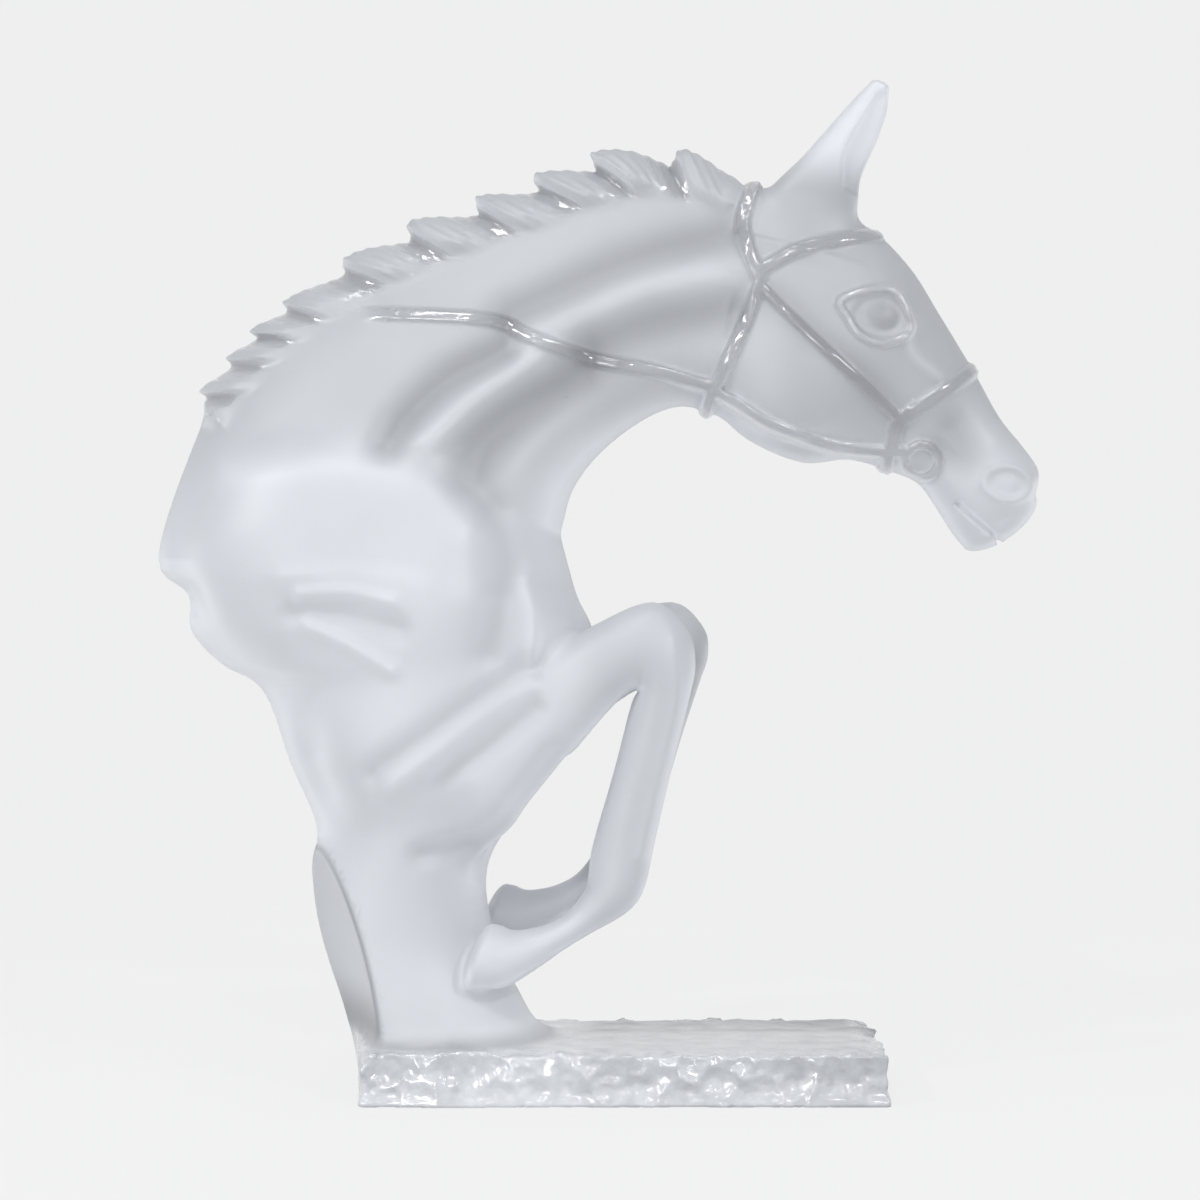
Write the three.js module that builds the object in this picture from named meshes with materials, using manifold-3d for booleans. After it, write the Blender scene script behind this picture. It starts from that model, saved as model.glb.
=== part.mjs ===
// A frosted resin sculpture of a jumping horse, cast as one piece: bridled head, arched neck with a
// short mane in locks, shoulders, two tucked forelegs, and a trunk that runs down into a hewn base.
// Millimetres, +Z up. The horse faces +X, its right side is -Y, and the origin is the middle of the
// base's underside. Every form is a signed field, negative inside, and the fields are blended, drawn
// as one closed surface, thinned out where it is smooth, and cut flat at the floor.
import * as THREE from "three";
import Module from "manifold-3d";

// Driving dimensions
const BASE_LENGTH = 171.5;
const BASE_DEPTH = 84;
const BASE_HEIGHT = 17.8;
const BASE_SINK = 6; // how far the base runs on below the floor before it is cut flat
const SHOULDER_HALF_WIDTH = 45;
const HEAD_HALF_WIDTH = 25; // at the eyes
const FORELEG_OFFSET = 26; // from the middle plane to each foreleg's own plane
const STRAP_HEIGHT = 1.6; // how far the bridle stands out of the skin
const GRID = 1.35; // spacing of the field samples
const TRIANGLES = 9700;

// Blending of fields
const clamp01 = (v) => Math.min(Math.max(v, 0), 1);
const smoothstep = (low, high, v) => {
  const t = clamp01((v - low) / (high - low));
  return t * t * (3 - 2 * t);
};
const join = (a, b, soft) => {
  const h = Math.max(soft - Math.abs(a - b), 0) / soft;
  return Math.min(a, b) - (h * h * soft) / 4;
};
const carve = (a, tool, soft) => -join(-a, tool, soft);

// First-order distance to an ellipsoid, or to an ellipse where w is 0.
function ellipseDistance(u, v, w, a, b, c) {
  const reach = Math.hypot(u / a, v / b, w / c);
  const slope = Math.hypot(u / (a * a), v / (b * b), w / (c * c));
  return slope < 1e-9 ? -Math.min(a, b) : (reach * (reach - 1)) / slope;
}

function bead(centre, radii, tilt = 0) {
  const cos = Math.cos(tilt);
  const sin = Math.sin(tilt);
  return (x, y, z) => {
    const dx = x - centre[0];
    const dz = z - centre[2];
    return ellipseDistance(dx * cos + dz * sin, y - centre[1], dz * cos - dx * sin, ...radii);
  };
}

// A loft through elliptical sections. Each section is
// [x, z of one edge, x, z of the other edge, half depth, egg, y of its middle],
// so the two edges are the outline seen from the side. A positive egg makes the section wider
// towards its second edge. Ends are rounded over the given cap length.
const STEPS_PER_SECTION = 5;
const FAR_AWAY = 14; // past this margin a loft's box distance is used

function loft(sections, cap = 6) {
  const knots = (pick) => new THREE.CatmullRomCurve3(sections.map(pick), false, "catmullrom", 0.5);
  const first = knots((s) => new THREE.Vector3(s[0], s[1], s[6] ?? 0));
  const second = knots((s) => new THREE.Vector3(s[2], s[3], s[4]));
  const eggs = knots((s) => new THREE.Vector3(s[5] ?? 0, 0, 0));
  const count = (sections.length - 1) * STEPS_PER_SECTION + 1;
  const rows = [];
  const box = new THREE.Box3();
  for (let i = 0; i < count; i++) {
    const t = i / (count - 1);
    const p = first.getPoint(t);
    const q = second.getPoint(t);
    const half = Math.hypot(p.x - q.x, p.y - q.y) / 2;
    const row = {
      x: (p.x + q.x) / 2,
      z: (p.y + q.y) / 2,
      y: p.z,
      ux: (p.x - q.x) / 2 / half,
      uz: (p.y - q.y) / 2 / half,
      half,
      depth: q.z,
      egg: eggs.getPoint(t).x,
    };
    rows.push(row);
    const reach = half + cap;
    box.expandByPoint(new THREE.Vector3(row.x - reach, row.y - row.depth - cap, row.z - reach));
    box.expandByPoint(new THREE.Vector3(row.x + reach, row.y + row.depth + cap, row.z + reach));
  }
  // The sections' common normal points along the loft.
  const last = rows[count - 1];
  const turn = Math.sign(-rows[0].uz * (last.x - rows[0].x) + rows[0].ux * (last.z - rows[0].z)) || 1;
  const middle = rows[Math.floor(count / 2)];
  const sense =
    Math.sign(-rows[0].uz * (middle.x - rows[0].x) + rows[0].ux * (middle.z - rows[0].z)) || turn;
  const along = (row, x, z) => sense * (-row.uz * (x - row.x) + row.ux * (z - row.z));
  const across = (row, x, z) => row.ux * (x - row.x) + row.uz * (z - row.z);

  function at(row, x, y, z, w) {
    const u = across(row, x, z);
    const egg = 1 - row.egg * Math.min(Math.max(u / row.half, -1), 1);
    return ellipseDistance(u, y - row.y, w, row.half, row.depth * egg, cap);
  }
  const between = {};
  return (x, y, z) => {
    const outX = Math.max(box.min.x - x, x - box.max.x, 0);
    const outY = Math.max(box.min.y - y, y - box.max.y, 0);
    const outZ = Math.max(box.min.z - z, z - box.max.z, 0);
    const out = Math.hypot(outX, outY, outZ);
    if (out > FAR_AWAY) return out;
    let best = Infinity;
    let before = along(rows[0], x, z);
    if (before < 0) best = at(rows[0], x, y, z, before);
    for (let i = 1; i < count; i++) {
      const after = along(rows[i], x, z);
      if (before >= 0 && after < 0) {
        const t = before / (before - after);
        for (const key in rows[i]) between[key] = rows[i - 1][key] * (1 - t) + rows[i][key] * t;
        best = Math.min(best, at(between, x, y, z, 0));
      }
      before = after;
    }
    if (before >= 0) best = Math.min(best, at(last, x, y, z, before));
    return best;
  };
}

// Poll to floor: crest or back edge first, throat or chest edge second.
const W = SHOULDER_HALF_WIDTH;
const BODY = loft([
  [43, 299, 27, 227, 0.42 * W, 0.2],
  [14, 303, 15, 226, 0.42 * W, 0.3],
  [-16, 300, 3, 220, 0.45 * W, 0.35],
  [-48, 288, -9, 210, 0.52 * W, 0.35],
  [-76, 276, -17, 199, 0.61 * W, 0.35],
  [-105, 261, -20, 189, 0.72 * W, 0.32],
  [-131, 237, -21, 184, 0.83 * W, 0.3],
  [-144, 212, -20, 179, 0.92 * W, 0.25],
  [-155, 176, -17, 168, 0.98 * W, 0.2],
  [-145, 164, -15, 162, W, 0.2],
  [-144, 152, -11, 154, W, 0.15],
  [-134, 141, -9, 144, 0.98 * W, 0.1],
  [-120, 132, -8, 132, 0.94 * W, 0.05],
  [-111, 108, -20, 110, 0.83 * W],
  [-102, 85, -40, 85, 0.72 * W],
  [-109, 68, -46, 69, 0.67 * W],
  [-120, 47, -42, 47, 0.67 * W],
  [-102, 26, -32, 26, 0.74 * W],
  [-89, 6, -21, 6, 0.86 * W],
  [-88, -4, -18, -4, 0.9 * W],
]);

// Poll to muzzle: forehead edge first, jaw edge second.
const H = HEAD_HALF_WIDTH;
const SKULL = loft(
  [
    [49, 296, 30, 226, 0.76 * H],
    [78, 288, 41.5, 215.5, 0.92 * H, -0.15],
    [94, 274, 59.5, 208, H, -0.25],
    [105, 257, 75, 209, 0.84 * H, -0.2],
    [116, 239, 89, 205, 0.63 * H, -0.1],
    [125, 223, 98, 201, 0.54 * H],
    [133, 213, 104, 193, 0.55 * H],
    [138, 205, 109, 185, 0.52 * H],
    [137, 197, 113, 180, 0.42 * H],
  ],
  6.5,
);

// One foreleg, elbow to hoof: front edge first, back edge second, with the middle's y before the side.
const FORELEG = [
  [-80, 108, -58, 72, 8, 0, 12],
  [-63, 120, -39, 85, 15, 0, 22],
  [-50, 129, -29, 97, 14, 0, 23],
  [-27.5, 143.5, -11, 119.5, 12, 0, 24.5],
  [-8, 155, -1.5, 130, 11, 0, 26],
  [9.5, 161.5, 3.5, 133, 10.5, 0, 26],
  [20.5, 152.5, 4, 132, 10, 0, 26],
  [23, 141.5, 3, 130.5, 9, 0, 26],
  [21, 130, 1.5, 126, 8, 0, 26],
  [15.5, 108.5, -3.5, 106.5, 7.5, 0, 26],
  [10, 85, -10.5, 82, 7.5, 0, 26],
  [6.5, 69, -12, 71, 8.5, 0, 26],
  [1, 61, -14, 66.5, 8, 0, 26],
  [-11, 54, -19, 60.5, 6.5, 0, 26],
  [-20, 48.5, -26.5, 56.5, 6.5, 0, 26],
  [-27, 43.5, -35.5, 55, 8, 0, 26],
  [-39, 36.5, -40, 56.5, 10, 0, 26],
  [-50, 36, -42.5, 57, 10.5, 0, 26],
];
const HOOF_CAP = 4;
const KNEE_SECTION = 5;
const FETLOCK_SECTION = 11;
const LEFT_KNEE_AHEAD = 7;
const LEFT_FETLOCK_AHEAD = 3;
const LEFT_FETLOCK_RAISED = 8;

function foreleg(side) {
  const left = side > 0;
  const sections = FORELEG.map(([x1, z1, x2, z2, depth, egg, y], i) => {
    const toKnee = smoothstep(3, KNEE_SECTION, i);
    const toFetlock = smoothstep(KNEE_SECTION, FETLOCK_SECTION, i);
    const ahead = LEFT_KNEE_AHEAD * toKnee + (LEFT_FETLOCK_AHEAD - LEFT_KNEE_AHEAD) * toFetlock;
    const dx = left ? ahead : 0;
    const dz = left ? LEFT_FETLOCK_RAISED * toFetlock : 0;
    const place = side * (y - 26 + FORELEG_OFFSET);
    return [x1 + dx, z1 + dz, x2 + dx, z2 + dz, depth, egg, place];
  });
  return loft(sections, HOOF_CAP);
}
const FORELEGS = [foreleg(-1), foreleg(1)];

// An ear stands on the poll, cupped towards the front.
function ear(side) {
  const shell = loft(
    [
      [45, 282, 72, 275, 8, 0, side * 8],
      [48, 297, 76.5, 290, 8.5, 0, side * 10],
      [58.5, 308, 78, 301, 7.5, 0, side * 12],
      [67.5, 318, 83, 312.5, 6, 0, side * 13],
      [75.5, 327, 86.5, 323, 4, 0, side * 13.5],
      [81, 332.5, 87, 330, 2.2, 0, side * 13.5],
    ],
    1.6,
  );
  const cup = loft(
    [
      [76, 298, 84, 296, 3.5, 0, side * 15],
      [76.5, 309, 87, 305, 4, 0, side * 16],
      [81, 319, 90, 315, 3, 0, side * 16.5],
      [85, 327, 90, 325, 1.6, 0, side * 15.5],
    ],
    2,
  );
  return (x, y, z) => carve(shell(x, y, z), cup(x, y, z), 2);
}
const EARS = [ear(-1), ear(1)];

// The mane stands on the crest as a low wall. Its locks are waves across the wall: each tip is raised
// on the crest, drops steeply towards the withers and leans down the neck towards the poll.
const CREST = new THREE.CatmullRomCurve3(
  [
    [34, 303],
    [8, 309],
    [-13, 305],
    [-36, 295.5],
    [-56, 288.5],
    [-77, 280],
    [-100, 267],
    [-116, 256],
    [-128, 243.5],
    [-140, 229],
  ].map(([x, z]) => new THREE.Vector3(x, 0, z)),
);
const WALL_SECTIONS = 14;
const WALL_DROP = 16;
const CREST_STEPS = 100;
const LOCK_TIPS = [-0.07, 0.06, 0.2, 0.3, 0.405, 0.525, 0.65, 0.78, 0.85, 0.91, 0.98, 1.05]; // share of the crest
const LOCK_LEAN = 1 / Math.tan(THREE.MathUtils.degToRad(52));
const LOCK_HEIGHT = 5;
const LOCK_STEEP = 0.24; // share of a lock taken by its steep side
const LAST_LOCKS = 0.66; // size of the locks at the withers

const MANE_WALL = loft(
  Array.from({ length: WALL_SECTIONS }, (_, i) => {
    const share = i / (WALL_SECTIONS - 1);
    const { x, z } = CREST.getPointAt(share);
    const tangent = CREST.getTangentAt(share);
    return [x, z, x - tangent.z * WALL_DROP, z + tangent.x * WALL_DROP, 7 + 5 * share, 0.3];
  }),
  3,
);
const crestLine = CREST.getSpacedPoints(CREST_STEPS);
const crestLength = CREST.getLength();

// Share of the crest nearest to a point, and the point's depth below it.
function alongCrest(x, z) {
  let best = Infinity;
  let share = 0;
  let depth = 0;
  for (let i = 1; i <= CREST_STEPS; i++) {
    const a = crestLine[i - 1];
    const dx = crestLine[i].x - a.x;
    const dz = crestLine[i].z - a.z;
    const length = Math.hypot(dx, dz);
    const t = clamp01(((x - a.x) * dx + (z - a.z) * dz) / length ** 2);
    const gap = Math.hypot(x - a.x - dx * t, z - a.z - dz * t);
    if (gap >= best) continue;
    best = gap;
    share = (i - 1 + t) / CREST_STEPS;
    depth = ((z - a.z) * dx - (x - a.x) * dz) / length;
  }
  return { share, depth };
}

function mane(x, y, z) {
  const wall = MANE_WALL(x, y, z);
  if (wall > 9) return wall;
  const { share, depth } = alongCrest(x, z);
  const leaning = share + (Math.max(depth, -5) * LOCK_LEAN) / crestLength;
  let i = 1;
  while (i < LOCK_TIPS.length - 1 && LOCK_TIPS[i] < leaning) i++;
  const t = clamp01((leaning - LOCK_TIPS[i - 1]) / (LOCK_TIPS[i] - LOCK_TIPS[i - 1]));
  const wave = Math.max(smoothstep(LOCK_STEEP, 0, t), t ** 1.6);
  const size = 1 - (1 - LAST_LOCKS) * smoothstep(0.55, 0.8, share);
  return wall - (wave * LOCK_HEIGHT * size - 1) * smoothstep(17, 7, depth);
}

// Swellings on each side of the head and body: [x, y, z], [radii], tilt.
const SWELLINGS = [
  [[57, 13, 238], [23, 11, 20], 0.4], // cheek
  [[84, 16, 256], [11, 8, 9], -0.5], // eye socket
  [[126, 8, 201], [9, 6.5, 8], -0.7], // nostril
  [[-60, 26, 165], [17, 18, 24], 0.2], // point of the shoulder
  [[-105, 24, 178], [34, 20, 30], 0.5], // shoulder blade
  [[-72, 26, 118], [26, 15, 20], 0.6], // elbow
];
const swellings = SWELLINGS.map(([centre, radii, tilt]) => bead(centre, radii, tilt));
const EYEBALL = bead([83.5, 19.5, 254.5], [7.2, 5.6, 6], -0.35);

// Distance in the side view from a point to a path, used for everything cut or raised on the sides.
function path(points, closed = false) {
  const curve = new THREE.CatmullRomCurve3(
    points.map(([x, z]) => new THREE.Vector3(x, 0, z)),
    closed,
  );
  const line = curve.getPoints((points.length - (closed ? 0 : 1)) * 5);
  const box = new THREE.Box3().setFromPoints(line);
  return (x, z, limit) => {
    const outX = Math.max(box.min.x - x, x - box.max.x, 0);
    const outZ = Math.max(box.min.z - z, z - box.max.z, 0);
    if (outX > limit || outZ > limit) return Infinity;
    let best = Infinity;
    for (let i = 1; i < line.length; i++) {
      const a = line[i - 1];
      const b = line[i];
      const dx = b.x - a.x;
      const dz = b.z - a.z;
      const t = clamp01(((x - a.x) * dx + (z - a.z) * dz) / (dx * dx + dz * dz));
      best = Math.min(best, Math.hypot(x - a.x - dx * t, z - a.z - dz * t));
    }
    return best;
  };
}

// Soft muscle lines: height, width, then the path. A negative height is a hollow.
const MUSCLES = [
  [-3.0, 7, [[32, 283], [2, 274], [-20, 264], [-37, 256]]], // under the crest
  [1.6, 6, [[29, 269], [7, 264], [-14, 255], [-28, 250]]],
  [-3.2, 8, [[34, 257], [12, 253], [-9, 246]]], // above the rein
  [-3.4, 6, [[-40, 244], [-58, 234], [-71, 221], [-76, 212]]], // in front of the shoulder blade
  [2.2, 5, [[-30, 240], [-47, 228], [-62, 215]]],
  [-3.8, 9, [[-14, 236], [-31, 225], [-44, 214], [-51, 200]]], // above the windpipe
  [1.8, 7, [[-128, 203], [-88, 205], [-60, 196], [-50, 186]]], // top of the shoulder
  [-2.6, 7, [[-42, 190], [-38, 172], [-43, 146]]], // between shoulder and breast
  [1.4, 2.5, [[-32, 168], [-29, 155], [-30, 142]]],
  [1.2, 3, [[-109, 170], [-86, 171], [-64, 168]]], // folds over the shoulder blade
  [1.8, 2.6, [[-104, 164], [-88, 165], [-74, 162]]],
  [-1.6, 4, [[-106, 158], [-90, 157], [-72, 153]]],
  [1.8, 2.8, [[-101, 154], [-88, 148], [-75, 140]]],
  [-2.0, 9, [[-99, 112], [-96, 104]]], // behind the elbow
  [-3.0, 4, [[-80, 107], [-63, 118], [-44, 131], [-30, 140]]], // over the forearm
  [1.8, 4, [[-75, 104], [-60, 115], [-46, 126], [-30, 136]]],
  [-1.6, 3.5, [[-60, 104], [-46, 113], [-28, 127]]],
  [-2.0, 4, [[-66, 80], [-50, 84], [-38, 92], [-22, 112]]], // behind the forearm
  [0.9, 2.4, [[15, 150], [16.5, 130], [11, 106], [5, 80]]], // along the cannon
  [-1.8, 5, [[48, 262], [62, 248], [76, 235], [90, 220]]], // under the cheek bone
  [1.6, 2.4, [[92, 246], [96, 240.5], [102, 236]]], // tear bone
  [-2.0, 6, [[104, 212], [113, 208], [108, 218]]], // behind the nostril
].map(([height, width, points]) => ({ height, width, distance: path(points) }));

// Leather straps and reins: half width, then the path. They wrap right round the form.
const STRAPS = [
  [2.3, [[43, 300], [39, 288], [40, 278], [44, 268]]], // headpiece
  [2.1, [[44, 265], [40, 254], [35, 243], [29, 231], [27, 224]]], // throat lash
  [2.1, [[44, 270], [57, 277], [69, 280], [84, 283]]], // brow band
  [1.6, [[44.5, 265], [57, 252], [73, 237], [91, 221]]], // cheek piece
  [2.3, [[116.5, 239], [103, 229], [91, 221], [88, 213], [86, 202]]], // nose band
].map(([half, points]) => ({ half, distance: path(points) }));
const REINS = [
  [1.9, [[92, 211], [83, 211], [67, 213], [49, 219], [36, 227], [29, 231]]], // bit to throat
  [2.1, [[29, 232], [11, 237], [-6, 240], [-20, 244], [-31, 248], [-41, 253], [-60, 255], [-86, 256]]],
].map(([half, points]) => ({ half, distance: path(points) }));
const BIT = { x: 98, z: 208, radius: 5.4, half: 1.3 };

// Eyelids, nostril and mouth.
const EYELIDS = path(
  [[70, 259.5], [78.5, 263], [87.5, 263], [92.5, 256], [93, 249.5], [84.5, 245.5], [77, 248], [72.5, 254]],
  true,
);
const EYELID_HALF = 1.2;
const EYELID_HEIGHT = 1.4;
const NOSTRIL = { x: 126, z: 200.5, length: 8.4, height: 6, tilt: -0.15 };
const MOUTH = path([[110.5, 194], [117, 188], [124.5, 182]]);
const MOUTH_HALF = 0.9;

const raised = (distance, half, bevel) => smoothstep(half + bevel, half - bevel, distance);

function relief(x, y, z) {
  const side = smoothstep(2, 9, Math.abs(y));
  let height = 0;
  if (side > 0)
    for (const muscle of MUSCLES) {
      const d = muscle.distance(x, z, 3 * muscle.width) / muscle.width;
      if (d < 3) height += side * muscle.height * Math.exp(-d * d);
    }
  let strap = 0;
  for (const { half, distance } of STRAPS)
    strap = Math.max(strap, raised(distance(x, z, half + 2), half, 1));
  for (const { half, distance } of REINS)
    strap = Math.max(strap, side * raised(distance(x, z, half + 2), half, 1));
  const fromBit = Math.abs(Math.hypot(x - BIT.x, z - BIT.z) - BIT.radius);
  strap = Math.max(strap, side * raised(fromBit, BIT.half, 0.6));
  const lids = EYELID_HEIGHT * raised(EYELIDS(x, z, 4), EYELID_HALF, 0.8);
  const mouth = raised(MOUTH(x, z, 4), MOUTH_HALF, 0.7);
  const nx = x - NOSTRIL.x;
  const nz = z - NOSTRIL.z;
  const cos = Math.cos(NOSTRIL.tilt);
  const sin = Math.sin(NOSTRIL.tilt);
  const ring = Math.hypot((nx * cos + nz * sin) / NOSTRIL.length, (nz * cos - nx * sin) / NOSTRIL.height);
  const nostril = side * (smoothstep(1.0, 0.5, ring) * 2 - raised(ring, 1.08, 0.14) * 0.7);
  return height + STRAP_HEIGHT * strap + side * lids - mouth - nostril;
}

// Hewn stone look of the base: shell-shaped chips round scattered points.
const CHIP_PITCH = 9;
const CHIP_DEPTH = 2.4;
const scatter = (i, j, k, salt) => {
  const v = Math.sin(i * 127.1 + j * 311.7 + k * 74.7 + salt * 53.3) * 43758.5453;
  return v - Math.floor(v);
};

function chips(x, y, z) {
  const i0 = Math.floor(x / CHIP_PITCH);
  const j0 = Math.floor(y / CHIP_PITCH);
  const k0 = Math.floor(z / CHIP_PITCH);
  let nearest = Infinity;
  for (let i = i0 - 1; i <= i0 + 1; i++)
    for (let j = j0 - 1; j <= j0 + 1; j++)
      for (let k = k0 - 1; k <= k0 + 1; k++) {
        const dx = (i + scatter(i, j, k, 1)) * CHIP_PITCH - x;
        const dy = (j + scatter(i, j, k, 2)) * CHIP_PITCH - y;
        const dz = (k + scatter(i, j, k, 3)) * CHIP_PITCH - z;
        nearest = Math.min(nearest, Math.hypot(dx, dy, dz));
      }
  return CHIP_DEPTH * clamp01(1 - (nearest / CHIP_PITCH) ** 2);
}

const BASE_ROUND = 1;
function base(x, y, z) {
  const px = Math.abs(x) - BASE_LENGTH / 2 + BASE_ROUND;
  const py = Math.abs(y) - BASE_DEPTH / 2 + BASE_ROUND;
  const pz = Math.abs(z - (BASE_HEIGHT - BASE_SINK) / 2) - (BASE_HEIGHT + BASE_SINK) / 2 + BASE_ROUND;
  const out = Math.hypot(Math.max(px, 0), Math.max(py, 0), Math.max(pz, 0));
  const slab = out + Math.min(Math.max(px, py, pz), 0) - BASE_ROUND;
  if (Math.abs(slab) > 8) return slab;
  const rim = smoothstep(-10, -1, Math.max(px, py)) * smoothstep(-1, 5, z);
  return slab + (0.2 + 0.8 * rim) * (chips(x, y, z) - 0.5);
}

// The trunk's back is cut off by a shallow hollow that faces back and a little to the right.
const BACK_CUT_RADIUS = 170;
const BACK_CUT_POINT = new THREE.Vector3(-92, 0, 46);
const BACK_CUT_NORMAL = new THREE.Vector3(-0.94, -0.33, -0.25).normalize();
const BACK_CUT_CENTRE = BACK_CUT_NORMAL.clone().multiplyScalar(BACK_CUT_RADIUS).add(BACK_CUT_POINT);

function backCut(x, y, z) {
  const { x: cx, y: cy, z: cz } = BACK_CUT_CENTRE;
  return Math.hypot(x - cx, y - cy, z - cz) - BACK_CUT_RADIUS;
}

// The whole casting
function horse(x, y, z) {
  const side = Math.abs(y);
  let d = BODY(x, y, z);
  swellings.slice(3).forEach((swelling) => {
    d = join(d, swelling(x, side, z), 12);
  });
  d = carve(d, backCut(x, y, z), 1.5);
  for (const leg of FORELEGS) d = join(d, leg(x, y, z), 5);
  let head = SKULL(x, y, z);
  swellings.slice(0, 3).forEach((swelling) => {
    head = join(head, swelling(x, side, z), 6);
  });
  for (const one of EARS) head = join(head, one(x, y, z), 7);
  d = join(d, head, 8);
  d = join(d, mane(x, y, z), 7);
  d = join(d, base(x, y, z), 9);
  if (Math.abs(d) < 6) d -= relief(x, y, z);
  return join(d, EYEBALL(x, side, z), 0.8);
}

// Field samples on a grid. Blocks far from the surface are filled from one corner sample.
const LOW = [-164, -60, -15];
const HIGH = [152, 60, 342];
const BLOCK = 5;

function sampleField(field, grid) {
  const size = LOW.map((low, i) => Math.ceil((HIGH[i] - low) / (grid * BLOCK)) * BLOCK + 1);
  const [nx, ny, nz] = size;
  const values = new Float32Array(nx * ny * nz);
  const index = (i, j, k) => i + nx * (j + ny * k);
  const place = (i, j, k) => [LOW[0] + i * grid, LOW[1] + j * grid, LOW[2] + k * grid];
  const safe = grid * BLOCK * 1.5;
  for (let k = 0; k < nz; k += BLOCK)
    for (let j = 0; j < ny; j += BLOCK)
      for (let i = 0; i < nx; i += BLOCK) {
        const half = BLOCK / 2;
        const middle = field(...place(i + half, j + half, k + half));
        for (let c = k; c < Math.min(k + BLOCK, nz); c++)
          for (let b = j; b < Math.min(j + BLOCK, ny); b++)
            for (let a = i; a < Math.min(i + BLOCK, nx); a++)
              values[index(a, b, c)] = Math.abs(middle) > safe ? middle : field(...place(a, b, c));
      }
  settle(values, size, index);
  return { values, size, index, place };
}

// Where four samples in a square have crossed signs the sheets would touch along an edge, so the
// sample nearest the surface is put on its neighbours' side.
function settle(values, [nx, ny, nz], index) {
  const TINY = 1e-3;
  const squares = [
    [[1, 0, 0], [0, 1, 0]],
    [[0, 1, 0], [0, 0, 1]],
    [[0, 0, 1], [1, 0, 0]],
  ];
  for (let changed = true; changed; ) {
    changed = false;
    for (let k = 0; k < nz - 1; k++)
      for (let j = 0; j < ny - 1; j++)
        for (let i = 0; i < nx - 1; i++)
          for (const [p, q] of squares) {
            const at = [
              index(i, j, k),
              index(i + p[0], j + p[1], k + p[2]),
              index(i + p[0] + q[0], j + p[1] + q[1], k + p[2] + q[2]),
              index(i + q[0], j + q[1], k + q[2]),
            ];
            const [a, b, c, d] = at.map((n) => values[n] < 0);
            if (a !== c || b !== d || a === b) continue;
            const least = at.reduce((m, n) => (Math.abs(values[n]) < Math.abs(values[m]) ? n : m));
            values[least] = values[least] < 0 ? TINY : -TINY;
            changed = true;
          }
  }
}

// Surface nets: one vertex in each cell that the surface passes through, one quad across each grid
// edge that it crosses.
const CORNERS = Array.from({ length: 8 }, (_, c) => [c & 1, (c >> 1) & 1, (c >> 2) & 1]);
const EDGES = [];
for (let a = 0; a < 8; a++)
  for (const bit of [1, 2, 4]) if (!(a & bit)) EDGES.push([a, a | bit]);

// One step along the field's slope towards its zero.
function ontoSurface(field, point, grid) {
  const STEP = 0.05;
  const value = field(...point);
  const slope = point.map((_, n) => {
    const moved = point.slice();
    moved[n] += STEP;
    return (field(...moved) - value) / STEP;
  });
  const steep = Math.max(slope[0] ** 2 + slope[1] ** 2 + slope[2] ** 2, 0.2);
  const limit = 0.4 * grid;
  const reach = Math.min(Math.max(value / Math.sqrt(steep), -limit), limit) / Math.sqrt(steep);
  return point.map((p, n) => p - slope[n] * reach);
}

function surfaceNet(field, grid) {
  const { values, size, index, place } = sampleField(field, grid);
  const [nx, ny, nz] = size;
  const vertexOf = new Int32Array(values.length).fill(-1);
  const points = [];
  for (let k = 0; k < nz - 1; k++)
    for (let j = 0; j < ny - 1; j++)
      for (let i = 0; i < nx - 1; i++) {
        const at = CORNERS.map(([a, b, c]) => values[index(i + a, j + b, k + c)]);
        const inside = at.filter((v) => v < 0).length;
        if (inside === 0 || inside === 8) continue;
        const sum = [0, 0, 0];
        let crossings = 0;
        for (const [a, b] of EDGES) {
          if (at[a] < 0 === at[b] < 0) continue;
          const t = at[a] / (at[a] - at[b]);
          for (let n = 0; n < 3; n++) sum[n] += CORNERS[a][n] * (1 - t) + CORNERS[b][n] * t;
          crossings++;
        }
        vertexOf[index(i, j, k)] = points.length;
        const mean = place(i + sum[0] / crossings, j + sum[1] / crossings, k + sum[2] / crossings);
        points.push(ontoSurface(field, mean, grid));
      }
  const triangles = [];
  const steps = [
    [1, 0, 0],
    [0, 1, 0],
    [0, 0, 1],
  ];
  for (let k = 1; k < nz - 1; k++)
    for (let j = 1; j < ny - 1; j++)
      for (let i = 1; i < nx - 1; i++)
        steps.forEach((step, axis) => {
          const here = values[index(i, j, k)] < 0;
          const there = values[index(i + step[0], j + step[1], k + step[2])] < 0;
          if (here === there) return;
          const p = steps[(axis + 1) % 3];
          const q = steps[(axis + 2) % 3];
          const cell = (m, n) =>
            vertexOf[index(i - m * p[0] - n * q[0], j - m * p[1] - n * q[1], k - m * p[2] - n * q[2])];
          const quad = [cell(0, 0), cell(1, 0), cell(1, 1), cell(0, 1)];
          if (!here) quad.reverse();
          triangles.push([quad[0], quad[1], quad[2]], [quad[0], quad[2], quad[3]]);
        });
  return { points, triangles };
}

// Thins the surface by edge collapses of least quadric error until the wanted count is left. The
// head and its bridle keep more of the triangles, the hewn base fewer.
const detail = (x, y, z) => {
  const head = smoothstep(15, 40, x) * smoothstep(160, 180, z);
  const floor = 1 - 0.8 * smoothstep(24, 14, z);
  const crest = smoothstep(30, 10, x) * smoothstep(225, 240, z) * smoothstep(24, 14, Math.abs(y));
  return floor * (1 + 10 * head + 2 * crest);
};
const FLIP_LIMIT = 0.4; // least cosine between a triangle before and after
const SLIVER_LIMIT = 0.12; // least height of a triangle over its longest edge

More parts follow.
